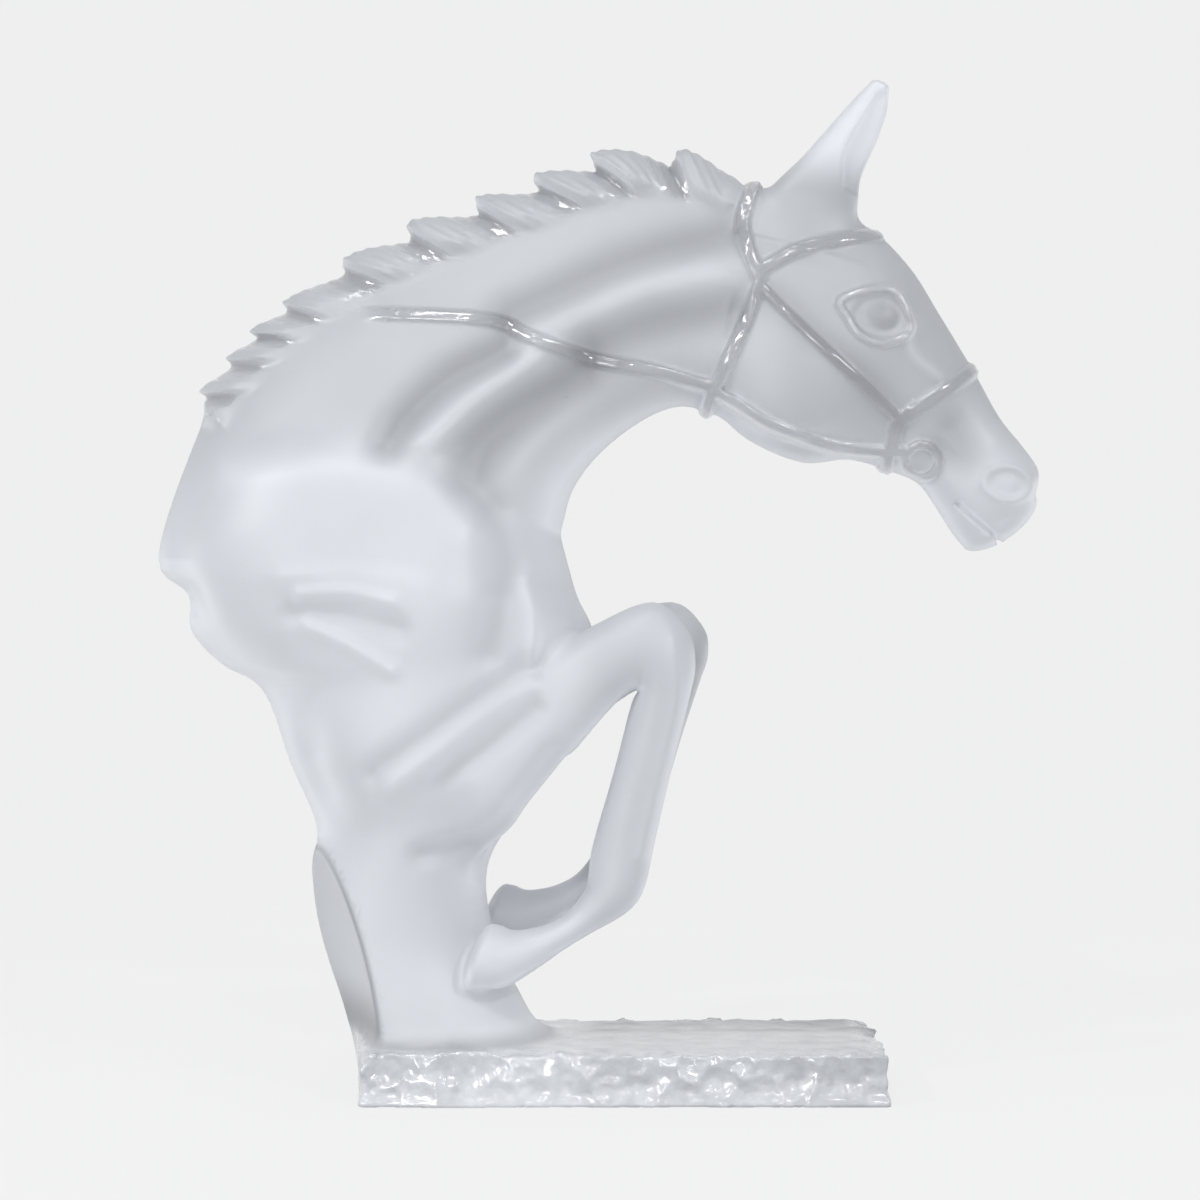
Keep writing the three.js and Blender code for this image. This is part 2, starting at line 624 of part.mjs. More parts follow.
function thinOut({ points, triangles }, wanted) {
  const position = points.map((p) => p.slice());
  const faces = triangles.map((t) => t.slice());
  const facesOf = position.map(() => new Set());
  faces.forEach((face, f) => face.forEach((v) => facesOf[v].add(f)));
  const minus = (a, b) => [a[0] - b[0], a[1] - b[1], a[2] - b[2]];
  const dot = (a, b) => a[0] * b[0] + a[1] * b[1] + a[2] * b[2];
  const cross = (a, b) => [
    a[1] * b[2] - a[2] * b[1],
    a[2] * b[0] - a[0] * b[2],
    a[0] * b[1] - a[1] * b[0],
  ];
  const normal = (a, b, c) => cross(minus(b, a), minus(c, a));
  // A quadric holds the ten terms of a squared distance to planes.
  const quadrics = position.map(() => new Float64Array(10));
  for (const [a, b, c] of faces) {
    const n = normal(position[a], position[b], position[c]);
    const area = Math.hypot(...n);
    if (area < 1e-9) continue;
    const [x, y, z] = n.map((v) => v / area);
    const w = -dot([x, y, z], position[a]);
    const terms = [x * x, x * y, x * z, x * w, y * y, y * z, y * w, z * z, z * w, w * w];
    const weight = area * detail(...position[a]);
    for (const v of [a, b, c]) terms.forEach((term, i) => (quadrics[v][i] += term * weight));
  }
  const error = (q, [x, y, z]) =>
    x * (q[0] * x + 2 * (q[1] * y + q[2] * z + q[3])) +
    y * (q[4] * y + 2 * (q[5] * z + q[6])) +
    z * (q[7] * z + 2 * q[8]) +
    q[9];

  function bestPoint(q, a, b) {
    const matrix = new THREE.Matrix3().set(q[0], q[1], q[2], q[1], q[4], q[5], q[2], q[5], q[7]);
    const middle = [0, 1, 2].map((i) => (a[i] + b[i]) / 2);
    const scale = Math.cbrt(Math.abs(matrix.determinant()));
    const spread = q[0] + q[4] + q[7];
    if (scale > 1e-2 * spread) {
      const solved = new THREE.Vector3(-q[3], -q[6], -q[8]).applyMatrix3(matrix.invert()).toArray();
      if (Math.hypot(...minus(solved, middle)) < 2 * Math.hypot(...minus(a, b))) return solved;
    }
    return [a, b, middle].reduce((x, y) => (error(q, x) <= error(q, y) ? x : y));
  }

  const stamp = new Int32Array(position.length);
  const heap = [];
  const swap = (i, j) => ([heap[i], heap[j]] = [heap[j], heap[i]]);
  function push(item) {
    heap.push(item);
    for (let i = heap.length - 1; i > 0; ) {
      const parent = (i - 1) >> 1;
      if (heap[parent].cost <= heap[i].cost) break;
      swap(i, parent);
      i = parent;
    }
  }
  function pop() {
    const top = heap[0];
    const end = heap.pop();
    if (heap.length) {
      heap[0] = end;
      for (let i = 0; ; ) {
        let least = i;
        for (const child of [2 * i + 1, 2 * i + 2])
          if (child < heap.length && heap[child].cost < heap[least].cost) least = child;
        if (least === i) break;
        swap(i, least);
        i = least;
      }
    }
    return top;
  }
  const SHORT_EDGE_COST = 2e-4; // keeps the thinning even where the surface is flat
  function offer(a, b) {
    const q = quadrics[a].map((term, i) => term + quadrics[b][i]);
    const target = bestPoint(q, position[a], position[b]);
    const length = Math.hypot(...minus(position[a], position[b]));
    const cost = Math.max(error(q, target), 0) + SHORT_EDGE_COST * length ** 4;
    push({ cost, a, b, target, at: stamp[a] + stamp[b] });
  }
  const neighbours = (v) => {
    const found = new Set();
    for (const f of facesOf[v]) for (const other of faces[f]) if (other !== v) found.add(other);
    return found;
  };
  function folds(v, gone, target) {
    for (const f of facesOf[v]) {
      if (faces[f].includes(gone)) continue;
      const old = faces[f].map((n) => position[n]);
      const moved = faces[f].map((n) => (n === v ? target : position[n]));
      const before = normal(...old);
      const after = normal(...moved);
      const size = Math.hypot(...before) * Math.hypot(...after);
      const longest = Math.max(...[0, 1, 2].map((i) => Math.hypot(...minus(moved[i], moved[(i + 1) % 3]))));
      const sliver = Math.hypot(...after) < SLIVER_LIMIT * longest * longest;
      if (sliver || dot(before, after) < FLIP_LIMIT * size || size < 1e-12) return true;
    }
    return false;
  }
  faces.forEach(([a, b, c]) => [[a, b], [b, c], [c, a]].forEach(([p, q]) => p < q && offer(p, q)));
  let left = faces.length;
  while (left > wanted && heap.length) {
    const { a, b, target, at } = pop();
    if (!facesOf[a].size || !facesOf[b].size || at !== stamp[a] + stamp[b]) continue;
    const around = neighbours(b);
    if (!around.has(a)) continue;
    const shared = [...neighbours(a)].filter((v) => around.has(v));
    if (shared.length !== 2 || folds(a, b, target) || folds(b, a, target)) continue;
    for (const f of [...facesOf[b]]) {
      if (faces[f].includes(a)) {
        faces[f].forEach((v) => facesOf[v].delete(f));
        faces[f] = null;
        left--;
      } else {
        faces[f][faces[f].indexOf(b)] = a;
        facesOf[a].add(f);
        facesOf[b].delete(f);
      }
    }
    position[a] = target;
    quadrics[b].forEach((term, i) => (quadrics[a][i] += term));
    stamp[a]++;
    for (const v of neighbours(a)) offer(Math.min(a, v), Math.max(a, v));
  }
  const kept = new Map();
  const vertices = [];
  const indices = [];
  for (const face of faces) {
    if (!face) continue;
    for (const v of face) {
      if (!kept.has(v)) {
        kept.set(v, kept.size);
        vertices.push(...position[v]);
      }
      indices.push(kept.get(v));
    }
  }
  return { vertices: new Float32Array(vertices), indices: new Uint32Array(indices) };
}

// Cutting the underside flat at the floor
const wasm = await Module();
wasm.setup();

function solid(vertices, indices) {
  return new wasm.Manifold(new wasm.Mesh({ numProp: 3, vertProperties: vertices, triVerts: indices }));
}

function cutAtFloor({ vertices, indices }) {
  // No vertex is left so near the floor that the cut would make a tiny edge.
  const CLEAR = 0.4;
  for (let i = 2; i < vertices.length; i += 3)
    if (Math.abs(vertices[i]) < CLEAR) vertices[i] = vertices[i] < 0 ? -CLEAR : CLEAR;
  const FLOOR_SIZE = 600;
  const floor = new THREE.BoxGeometry(FLOOR_SIZE, FLOOR_SIZE, FLOOR_SIZE);
  floor.translate(0, 0, -FLOOR_SIZE / 2);
  const corners = [];
  const cornerIndex = new Map();
  const floorIndices = [...floor.index.array].map((i) => {
    const p = new THREE.Vector3().fromBufferAttribute(floor.attributes.position, i);
    const key = p.toArray().join();
    if (!cornerIndex.has(key)) {
      cornerIndex.set(key, cornerIndex.size);
      corners.push(...p.toArray());
    }
    return cornerIndex.get(key);
  });
  const block = solid(new Float32Array(corners), new Uint32Array(floorIndices));
  return solid(vertices, indices).subtract(block).getMesh();
}

const cast = cutAtFloor(thinOut(surfaceNet(horse, GRID), TRIANGLES));
const geometry = new THREE.BufferGeometry();
geometry.setAttribute("position", new THREE.BufferAttribute(cast.vertProperties, 3));
geometry.setIndex(new THREE.BufferAttribute(cast.triVerts, 1));
geometry.computeVertexNormals();

const FROSTED_RESIN = new THREE.MeshStandardMaterial({ color: 0xd0d4da, roughness: 0.45, metalness: 0 });
const sculpture = new THREE.Mesh(geometry, FROSTED_RESIN);
sculpture.name = "horse_sculpture";

const part = new THREE.Group();
part.add(sculpture);
export default part;
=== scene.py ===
import math
import bpy
import numpy as np
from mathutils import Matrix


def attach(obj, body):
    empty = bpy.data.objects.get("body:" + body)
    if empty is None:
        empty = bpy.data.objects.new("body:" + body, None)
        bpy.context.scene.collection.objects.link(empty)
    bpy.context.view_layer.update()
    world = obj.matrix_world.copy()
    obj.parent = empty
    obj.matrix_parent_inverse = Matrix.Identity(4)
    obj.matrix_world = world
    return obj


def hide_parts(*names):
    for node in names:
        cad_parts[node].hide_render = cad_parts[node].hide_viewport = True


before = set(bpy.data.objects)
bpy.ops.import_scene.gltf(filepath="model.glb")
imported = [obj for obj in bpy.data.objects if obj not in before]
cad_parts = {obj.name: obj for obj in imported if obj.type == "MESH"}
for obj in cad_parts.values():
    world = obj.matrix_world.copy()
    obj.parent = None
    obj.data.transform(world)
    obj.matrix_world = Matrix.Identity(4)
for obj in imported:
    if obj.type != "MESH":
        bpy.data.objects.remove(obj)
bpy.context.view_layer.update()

# Neck and trunk
# The sculpture is one solid casting of clear resin. Its largest form is the arched neck that swells
# into the shoulders and runs down as a trunk into the base. Sizes are in millimetres until the casting
# is made, and each form is a field of distances to its skin, negative inside.


def smoothstep(low, high, value):
    t = np.clip((value - low) / (high - low), 0, 1)
    return t * t * (3 - 2 * t)


def join(a, b, soft):
    h = np.maximum(soft - np.abs(a - b), 0) / soft
    return np.minimum(a, b) - h * h * soft / 4


def carve(a, tool, soft):
    return -join(-a, tool, soft)


def mirror(p):
    """Both flanks folded onto the left one."""
    return np.column_stack([p[:, 0], np.abs(p[:, 1]), p[:, 2]])


def ellipse_distance(u, v, w, a, b, c):
    reach = np.sqrt((u / a) ** 2 + (v / b) ** 2 + (w / c) ** 2)
    slope = np.sqrt((u / a**2) ** 2 + (v / b**2) ** 2 + (w / c**2) ** 2)
    return np.where(slope < 1e-9, -np.minimum(a, b), reach * (reach - 1) / np.maximum(slope, 1e-9))


def spline(knots, steps, closed=False):
    knots = np.array(knots, float)
    if closed:
        knots = np.concatenate([knots[-1:], knots, knots[:2]])
    else:
        knots = np.concatenate([2 * knots[:1] - knots[1:2], knots, 2 * knots[-1:] - knots[-2:-1]])
    t = np.linspace(0, 1, steps, endpoint=False)[:, None]
    spans = []
    for p, q, r, s in zip(knots, knots[1:], knots[2:], knots[3:]):
        slope_q, slope_r = (r - p) / 2, (s - q) / 2
        bend = 3 * (r - q) - 2 * slope_q - slope_r
        spans.append(q + t * (slope_q + t * (bend + t * (2 * (q - r) + slope_q + slope_r))))
    return np.concatenate(spans + [knots[-2:-1]])


def loft(sections, cap=6.0):
    """Elliptical sections: x, z of one edge, x, z of the other, half depth, egg, y of the middle."""
    rows = spline([list(s) + [0.0] * (7 - len(s)) for s in sections], 5)
    one, two = rows[:, 0:2], rows[:, 2:4]
    middle = (one + two) / 2
    half = np.linalg.norm(one - two, axis=1) / 2
    up = (one - two) / (2 * half[:, None])
    normal = np.stack([-up[:, 1], up[:, 0]], axis=1)
    if normal[0] @ (middle[len(rows) // 2] - middle[0]) < 0:
        normal = -normal
    shift = (middle * normal).sum(axis=1)
    table = np.column_stack([middle, up, half, rows[:, 4:7]])
    reach = half + cap
    thick = rows[:, 4] + cap
    place = np.column_stack([middle[:, 0], rows[:, 6], middle[:, 1]])
    around = np.column_stack([reach, thick, reach])
    low = (place - around).min(axis=0)
    high = (place + around).max(axis=0)

    def at(row, p, w):
        mx, mz, ux, uz, a, depth, egg, y = row.T
        u = (p[:, 0] - mx) * ux + (p[:, 2] - mz) * uz
        b = depth * (1 - egg * np.clip(u / a, -1, 1))
        return ellipse_distance(u, p[:, 1] - y, w, a, b, cap)

    def close(p):
        along = p[:, [0, 2]] @ normal.T - shift
        best = np.full(len(p), np.inf)
        before = along[:, 0] < 0
        best[before] = at(table[:1], p[before], along[before, 0])
        after = along[:, -1] >= 0
        best[after] = np.minimum(best[after], at(table[-1:], p[after], along[after, -1]))
        i, r = np.nonzero((along[:, :-1] >= 0) & (along[:, 1:] < 0))
        t = (along[i, r] / (along[i, r] - along[i, r + 1]))[:, None]
        np.minimum.at(best, i, at(table[r] * (1 - t) + table[r + 1] * t, p[i], 0.0))
        return best

    def distance(p):
        out = np.linalg.norm(np.maximum(np.maximum(low - p, p - high), 0), axis=1)
        near = np.nonzero(out <= 14)[0]
        for some in np.array_split(near, len(near) // 30000 + 1):
            out[some] = close(p[some])
        return out

    return distance


def bead(centre, radii, tilt=0.0):
    c, s = math.cos(tilt), math.sin(tilt)

    def distance(p):
        x, y, z = (p - np.array(centre)).T
        return ellipse_distance(x * c + z * s, y, z * c - x * s, *radii)

    return distance


shoulder = 45.0
neck_and_trunk = loft([
    (43, 299, 27, 227, 0.42 * shoulder, 0.2),
    (14, 303, 15, 226, 0.42 * shoulder, 0.3),
    (-16, 300, 3, 220, 0.45 * shoulder, 0.35),
    (-48, 288, -9, 210, 0.52 * shoulder, 0.35),
    (-76, 276, -17, 199, 0.61 * shoulder, 0.35),
    (-105, 261, -20, 189, 0.72 * shoulder, 0.32),
    (-131, 237, -21, 184, 0.83 * shoulder, 0.3),
    (-144, 212, -20, 179, 0.92 * shoulder, 0.25),
    (-155, 176, -17, 168, 0.98 * shoulder, 0.2),
    (-145, 164, -15, 162, shoulder, 0.2),
    (-144, 152, -11, 154, shoulder, 0.15),
    (-134, 141, -9, 144, 0.98 * shoulder, 0.1),
    (-120, 132, -8, 132, 0.94 * shoulder, 0.05),
    (-111, 108, -20, 110, 0.83 * shoulder),
    (-102, 85, -40, 85, 0.72 * shoulder),
    (-109, 68, -46, 69, 0.67 * shoulder),
    (-120, 47, -42, 47, 0.67 * shoulder),
    (-102, 26, -32, 26, 0.74 * shoulder),
    (-89, 6, -21, 6, 0.86 * shoulder),
    (-88, -4, -18, -4, 0.9 * shoulder),
])
shoulder_swellings = [
    bead((-60, 26, 165), (17, 18, 24), 0.2),
    bead((-105, 24, 178), (34, 20, 30), 0.5),
    bead((-72, 26, 118), (26, 15, 20), 0.6),
]
back_cut_normal = np.array([-0.94, -0.33, -0.25]) / np.linalg.norm([-0.94, -0.33, -0.25])
back_cut_radius = 170.0
back_cut_middle = np.array([-92, 0, 46]) + back_cut_normal * back_cut_radius


def body_form(p):
    mirrored = mirror(p)
    d = neck_and_trunk(p)
    for swelling in shoulder_swellings:
        d = join(d, swelling(mirrored), 12)
    cut = np.linalg.norm(p - back_cut_middle, axis=1) - back_cut_radius
    return carve(d, cut, 1.5)


# Forelegs
# Both legs are folded as over a jump: forearm up and out to the knee, cannon straight down, and the
# hoof tucked back against the trunk, where the casting joins again.
foreleg_sections = [
    (-80, 108, -58, 72, 8, 12),
    (-63, 120, -39, 85, 15, 22),
    (-50, 129, -29, 97, 14, 23),
    (-27.5, 143.5, -11, 119.5, 12, 24.5),
    (-8, 155, -1.5, 130, 11, 26),
    (9.5, 161.5, 3.5, 133, 10.5, 26),
    (20.5, 152.5, 4, 132, 10, 26),
    (23, 141.5, 3, 130.5, 9, 26),
    (21, 130, 1.5, 126, 8, 26),
    (15.5, 108.5, -3.5, 106.5, 7.5, 26),
    (10, 85, -10.5, 82, 7.5, 26),
    (6.5, 69, -12, 71, 8.5, 26),
    (1, 61, -14, 66.5, 8, 26),
    (-11, 54, -19, 60.5, 6.5, 26),
    (-20, 48.5, -26.5, 56.5, 6.5, 26),
    (-27, 43.5, -35.5, 55, 8, 26),
    (-39, 36.5, -40, 56.5, 10, 26),
    (-50, 36, -42.5, 57, 10.5, 26),
]


def foreleg(side):
    knee, fetlock = 5, 11
    sections = []
    for i, (x1, z1, x2, z2, depth, y) in enumerate(foreleg_sections):
        to_knee = smoothstep(3, knee, i)
        to_fetlock = smoothstep(knee, fetlock, i)
        dx = (7 * to_knee - 4 * to_fetlock) * (side > 0)
        dz = 8 * to_fetlock * (side > 0)
        sections.append((x1 + dx, z1 + dz, x2 + dx, z2 + dz, depth, 0, side * y))
    return loft(sections, 4)


forelegs = [foreleg(-1), foreleg(1)]

# Head
# A lean thoroughbred head with pricked ears. Skull and muzzle are one swelling form, and the cheeks,
# eye sockets, nostrils and eyes stand on it in pairs. Each ear is a shell with a cup cut in its front.
head_width = 25.0
skull = loft([
    (49, 296, 30, 226, 0.76 * head_width),
    (78, 288, 41.5, 215.5, 0.92 * head_width, -0.15),
    (94, 274, 59.5, 208, head_width, -0.25),
    (105, 257, 75, 209, 0.84 * head_width, -0.2),
    (116, 239, 89, 205, 0.63 * head_width, -0.1),
    (125, 223, 98, 201, 0.54 * head_width),
    (133, 213, 104, 193, 0.55 * head_width),
    (138, 205, 109, 185, 0.52 * head_width),
    (137, 197, 113, 180, 0.42 * head_width),
], 6.5)
head_swellings = [
    bead((57, 13, 238), (23, 11, 20), 0.4),
    bead((84, 16, 256), (11, 8, 9), -0.5),
    bead((126, 8, 201), (9, 6.5, 8), -0.7),
]
eyeball = bead((83.5, 19.5, 254.5), (7.2, 5.6, 6), -0.35)


def ear(side):
    shell = loft([
        (45, 282, 72, 275, 8, 0, side * 8),
        (48, 297, 76.5, 290, 8.5, 0, side * 10),
        (58.5, 308, 78, 301, 7.5, 0, side * 12),
        (67.5, 318, 83, 312.5, 6, 0, side * 13),
        (75.5, 327, 86.5, 323, 4, 0, side * 13.5),
        (81, 332.5, 87, 330, 2.2, 0, side * 13.5),
    ], 1.6)
    cup = loft([
        (72, 298, 86, 295, 4.5, 0, side * 17),
        (72, 309, 89, 304, 5, 0, side * 18),
        (77.5, 319, 92, 314, 4, 0, side * 18),
        (83, 328, 91, 325, 2, 0, side * 16.5),
    ], 2)
    return lambda p: carve(shell(p), cup(p), 2)


ears = [ear(-1), ear(1)]


def head_form(p):
    mirrored = mirror(p)
    d = skull(p)
    for swelling in head_swellings:
        d = join(d, swelling(mirrored), 6)
    for one in ears:
        d = join(d, one(p), 7)
    return d


# Mane
# The short mane stands as a low wall along the crest, with locks lying across it. Each lock's tip is
# raised towards the withers and its tail runs down the neck. The mane is polished, not frosted.
crest = spline([
    (34, 303), (8, 309), (-13, 305), (-36, 295.5), (-56, 288.5),
    (-77, 280), (-100, 267), (-116, 256), (-128, 243.5), (-140, 229),
], 12)
crest_run = np.concatenate([[0], np.cumsum(np.linalg.norm(np.diff(crest, axis=0), axis=1))])


def on_crest(share):
    run = share * crest_run[-1]
    place = np.array([np.interp(run, crest_run, crest[:, i]) for i in (0, 1)])
    ahead = np.array([np.interp(run + 1, crest_run, crest[:, i]) for i in (0, 1)])
    behind = np.array([np.interp(run - 1, crest_run, crest[:, i]) for i in (0, 1)])
    return place, (ahead - behind) / np.linalg.norm(ahead - behind)


def mane_wall():
    sections = []
    for share in np.linspace(0, 1, 14):
        (x, z), (tx, tz) = on_crest(share)
        sections.append((x, z, x - tz * 16, z + tx * 16, 7 + 5 * share, 0.3))
    return loft(sections, 3)


wall = mane_wall()
lock_turn = math.radians(52)
lock_shares = np.array([-0.07, 0.06, 0.2, 0.3, 0.405, 0.525, 0.65, 0.78, 0.85, 0.91, 0.98, 1.05])
lock_tips = lock_shares * crest_run[-1]


def along_crest(p):
    """Run along the crest from the poll, and depth below it."""
    start, step = crest[:-1], np.diff(crest, axis=0)
    length = np.linalg.norm(step, axis=1)
    run, depth = np.empty(len(p)), np.empty(len(p))
    for some in np.array_split(np.arange(len(p)), len(p) // 30000 + 1):
        away = p[some][:, None, [0, 2]] - start
        t = np.clip((away * step).sum(axis=2) / length**2, 0, 1)
        nearest = np.linalg.norm(away - t[:, :, None] * step, axis=2).argmin(axis=1)
        row = np.arange(len(some))
        away, (tx, tz) = away[row, nearest], (step / length[:, None])[nearest].T
        run[some] = crest_run[nearest] + t[row, nearest] * length[nearest]
        depth[some] = away[:, 1] * tx - away[:, 0] * tz
    return run, depth


def lock_wave(run, depth):
    leaning = run + np.maximum(depth, -5) / math.tan(lock_turn)
    lock = np.interp(leaning, lock_tips, np.arange(len(lock_tips)))
    t = lock - np.floor(lock)
    strand_height, strand_pitch = 0.04, 3.7
    strands = strand_height * np.cos(leaning * 2 * math.pi / strand_pitch)
    return np.maximum(smoothstep(0.36, 0, t), smoothstep(0.12, 1, t)) + strands


def mane_form(p):
    d = wall(p)
    near = np.nonzero(d < 9)[0]
    run, depth = along_crest(p[near])
    lock_height, groove_depth = 7.2, 1.8
    size = 1 - 0.34 * smoothstep(0.55, 0.8, run / crest_run[-1])
    d[near] -= (lock_wave(run, depth) * lock_height * size - groove_depth) * smoothstep(17, 6, depth)
    return d


# Muscles and features
# Soft hollows and folds model the neck, shoulder, forearm and face. The eyelids, nostrils and mouth
# are cut finer. All of these are read in the side view and stand on both flanks.


def path(knots, closed=False):
    line = spline(knots, 6, closed)
    start, step = line[:-1], np.diff(line, axis=0)
    low, high = line.min(axis=0), line.max(axis=0)

    def distance(p, limit):
        q = p[:, [0, 2]]
        result = np.full(len(q), np.inf)
        near = np.nonzero(((q > low - limit) & (q < high + limit)).all(axis=1))[0]
        for some in np.array_split(near, len(near) // 40000 + 1):
            away = q[some, None] - start
            t = np.clip((away * step).sum(axis=2) / (step * step).sum(axis=1), 0, 1)
            result[some] = np.linalg.norm(away - t[:, :, None] * step, axis=2).min(axis=1)
        return result

    return distance


muscles = [
    (-3.0, 7, path([(32, 283), (2, 274), (-20, 264), (-37, 256)])),
    (1.6, 6, path([(29, 269), (7, 264), (-14, 255), (-28, 250)])),
    (-3.2, 8, path([(34, 257), (12, 253), (-9, 246)])),
    (-3.4, 6, path([(-40, 244), (-58, 234), (-71, 221), (-76, 212)])),
    (2.2, 5, path([(-30, 240), (-47, 228), (-62, 215)])),
    (-3.8, 9, path([(-14, 236), (-31, 225), (-44, 214), (-51, 200)])),
    (1.8, 7, path([(-128, 203), (-88, 205), (-60, 196), (-50, 186)])),
    (-2.6, 7, path([(-42, 190), (-38, 172), (-43, 146)])),
    (1.4, 2.5, path([(-32, 168), (-29, 155), (-30, 142)])),
    (0.8, 3.4, path([(-109, 170), (-86, 171), (-64, 168)])),
    (1.3, 2.6, path([(-104, 164), (-88, 165), (-74, 162)])),
    (-1.6, 4, path([(-106, 158), (-90, 157), (-72, 153)])),
    (1.4, 2.8, path([(-101, 154), (-88, 148), (-75, 140)])),
    (-2.0, 9, path([(-99, 112), (-96, 104)])),
    (-2.2, 5, path([(-80, 107), (-63, 118), (-44, 131), (-30, 140)])),
    (1.8, 4, path([(-75, 104), (-60, 115), (-46, 126), (-30, 136)])),
    (-1.6, 3.5, path([(-60, 104), (-46, 113), (-28, 127)])),
    (-2.0, 4, path([(-66, 80), (-50, 84), (-38, 92), (-22, 112)])),
    (0.9, 2.4, path([(15, 150), (16.5, 130), (11, 106), (5, 80)])),
    (-1.8, 5, path([(48, 262), (62, 248), (76, 235), (90, 220)])),
    (1.6, 2.4, path([(92, 246), (96, 240.5), (102, 236)])),
    (-2.0, 6, path([(104, 212), (113, 208), (108, 218)])),
]
eyelids = path([
    (70, 259.5), (78.5, 263), (87.5, 263), (92.5, 256), (93, 249.5), (84.5, 245.5), (77, 248), (72.5, 254),
], True)
mouth = path([(110.5, 194), (117, 188), (124.5, 182)])


def raised(distance, half, bevel):
    return smoothstep(half + bevel, half - bevel, distance)


def on_flank(p):
    return smoothstep(2, 9, np.abs(p[:, 1]))


def muscle_relief(p):
    height = np.zeros(len(p))
    for rise, width, line in muscles:
        height += rise * np.exp(-((line(p, 3 * width) / width) ** 2))
    return height * on_flank(p)


lid_height = 1.4


def lid_relief(p):
    return lid_height * raised(eyelids(p, 4), 1.2, 0.8) * on_flank(p)


def face_relief(p):
    x, z = p[:, 0] - 126, p[:, 2] - 200.5
    c, s = math.cos(-0.15), math.sin(-0.15)
    ring = np.hypot((x * c + z * s) / 8.4, (z * c - x * s) / 6)
    nostril = smoothstep(1.0, 0.5, ring) * 2.0 - raised(ring, 1.08, 0.14) * 0.7
    eye = np.hypot((p[:, 0] - 82.5) / 10, (p[:, 2] - 254.6) / 8)
    recess = nostril + 1.7 * smoothstep(1.0, 0.65, eye)
    return -recess * on_flank(p) - 1.6 * raised(mouth(p, 4), 0.9, 0.7)


# Bridle and reins
# A plain snaffle bridle is cast with the head: headpiece, throat lash, brow band, cheek piece and nose
# band wrap right round it, and a rein runs from each bit ring back to the mane. All are polished.
strap_height = 1.6
straps = [
    (2.3, path([(43, 300), (39, 288), (40, 278), (44, 268)])),
    (2.1, path([(44, 265), (40, 254), (35, 243), (29, 231), (27, 224)])),
    (2.1, path([(44, 270), (57, 277), (69, 280), (84, 283)])),
    (1.6, path([(44.5, 265), (57, 252), (73, 237), (91, 221)])),
    (2.3, path([(116.5, 239), (103, 229), (91, 221), (88, 213), (86, 202)])),
]
reins = [
    (1.9, path([(92, 211), (83, 211), (67, 213), (49, 219), (36, 227), (29, 231)])),
    (2.1, path([
        (29, 232), (11, 237), (-6, 240), (-20, 244), (-31, 248), (-41, 253), (-60, 255), (-86, 256),
    ])),
]
bit_ring = (98.0, 208.0, 5.4, 1.3)


def tack(p):
    strap = np.zeros(len(p))
    for half, line in straps:
        strap = np.maximum(strap, raised(line(p, half + 2), half, 1.0))
    for half, line in reins:
        ends = smoothstep(-88, -76, p[:, 0])
        strap = np.maximum(strap, on_flank(p) * ends * raised(line(p, half + 2), half, 1.0))
    x, z, radius, half = bit_ring
    from_ring = np.abs(np.hypot(p[:, 0] - x, p[:, 2] - z) - radius)
    return np.maximum(strap, on_flank(p) * raised(from_ring, half, 0.6))


# Base
# The casting stands on a slab whose edges are left as if hewn from ice: shell-shaped chips, coarse and
# fine, on the four sides and the rim, and a gently uneven top.
base_length, base_depth, base_height = 171.5, 84.0, 17.8


def scatter(i, j, k, salt):
    v = np.sin(i * 127.1 + j * 311.7 + k * 74.7 + salt * 53.3) * 43758.5453
    return v - np.floor(v)


def chips(p, pitch, depth):
    cell = np.floor(p / pitch)
    nearest = np.full(len(p), np.inf)
    for di in (-1, 0, 1):
        for dj in (-1, 0, 1):
            for dk in (-1, 0, 1):
                i, j, k = (cell + (di, dj, dk)).T
                jitter = np.column_stack([scatter(i, j, k, salt) for salt in (1, 2, 3)])
                seed = (cell + (di, dj, dk) + jitter) * pitch
                nearest = np.minimum(nearest, np.linalg.norm(seed - p, axis=1))
    return depth * np.clip(1 - (nearest / pitch) ** 2, 0, 1)


def base_form(p):
    edge, sink = 1.0, 6.0
    px = np.abs(p[:, 0]) - base_length / 2 + edge
    py = np.abs(p[:, 1]) - base_depth / 2 + edge
    pz = np.abs(p[:, 2] - (base_height - sink) / 2) - (base_height + sink) / 2 + edge
    out = np.linalg.norm(np.maximum(np.column_stack([px, py, pz]), 0), axis=1)
    slab = out + np.minimum(np.maximum(np.maximum(px, py), pz), 0) - edge
    near = np.abs(slab) < 8
    q = p[near]
    rim = smoothstep(-10, -1, np.maximum(px, py)[near]) * smoothstep(-1, 5, q[:, 2])
    slab[near] += (0.2 + 0.8 * rim) * (chips(q, 9.0, 2.4) - 0.5)
    slab[near] += rim * (chips(q + 40, 3.7, 0.9) - 0.3)
    return slab


# Casting
# All the forms are poured as one: they are blended, drawn as a single closed skin and set flat on the
# floor. The resin is frosted by rubbing, and the mane, tack and eyelids are polished clear again. Painted
# light and shade are laid into the colour of the skin.


def horse(p):
    mirrored = mirror(p)
    d = body_form(p)
    for leg in forelegs:
        d = join(d, leg(p), 5)
    d = join(d, head_form(p), 8)
    d = join(d, mane_form(p), 5)
    d = join(d, base_form(p), 9)
    near = np.abs(d) < 6
    q = p[near]
    d[near] -= muscle_relief(q) + lid_relief(q) + face_relief(q) + strap_height * tack(q)
    d = join(d, eyeball(mirrored), 0.8)
    return np.maximum(d, -p[:, 2])


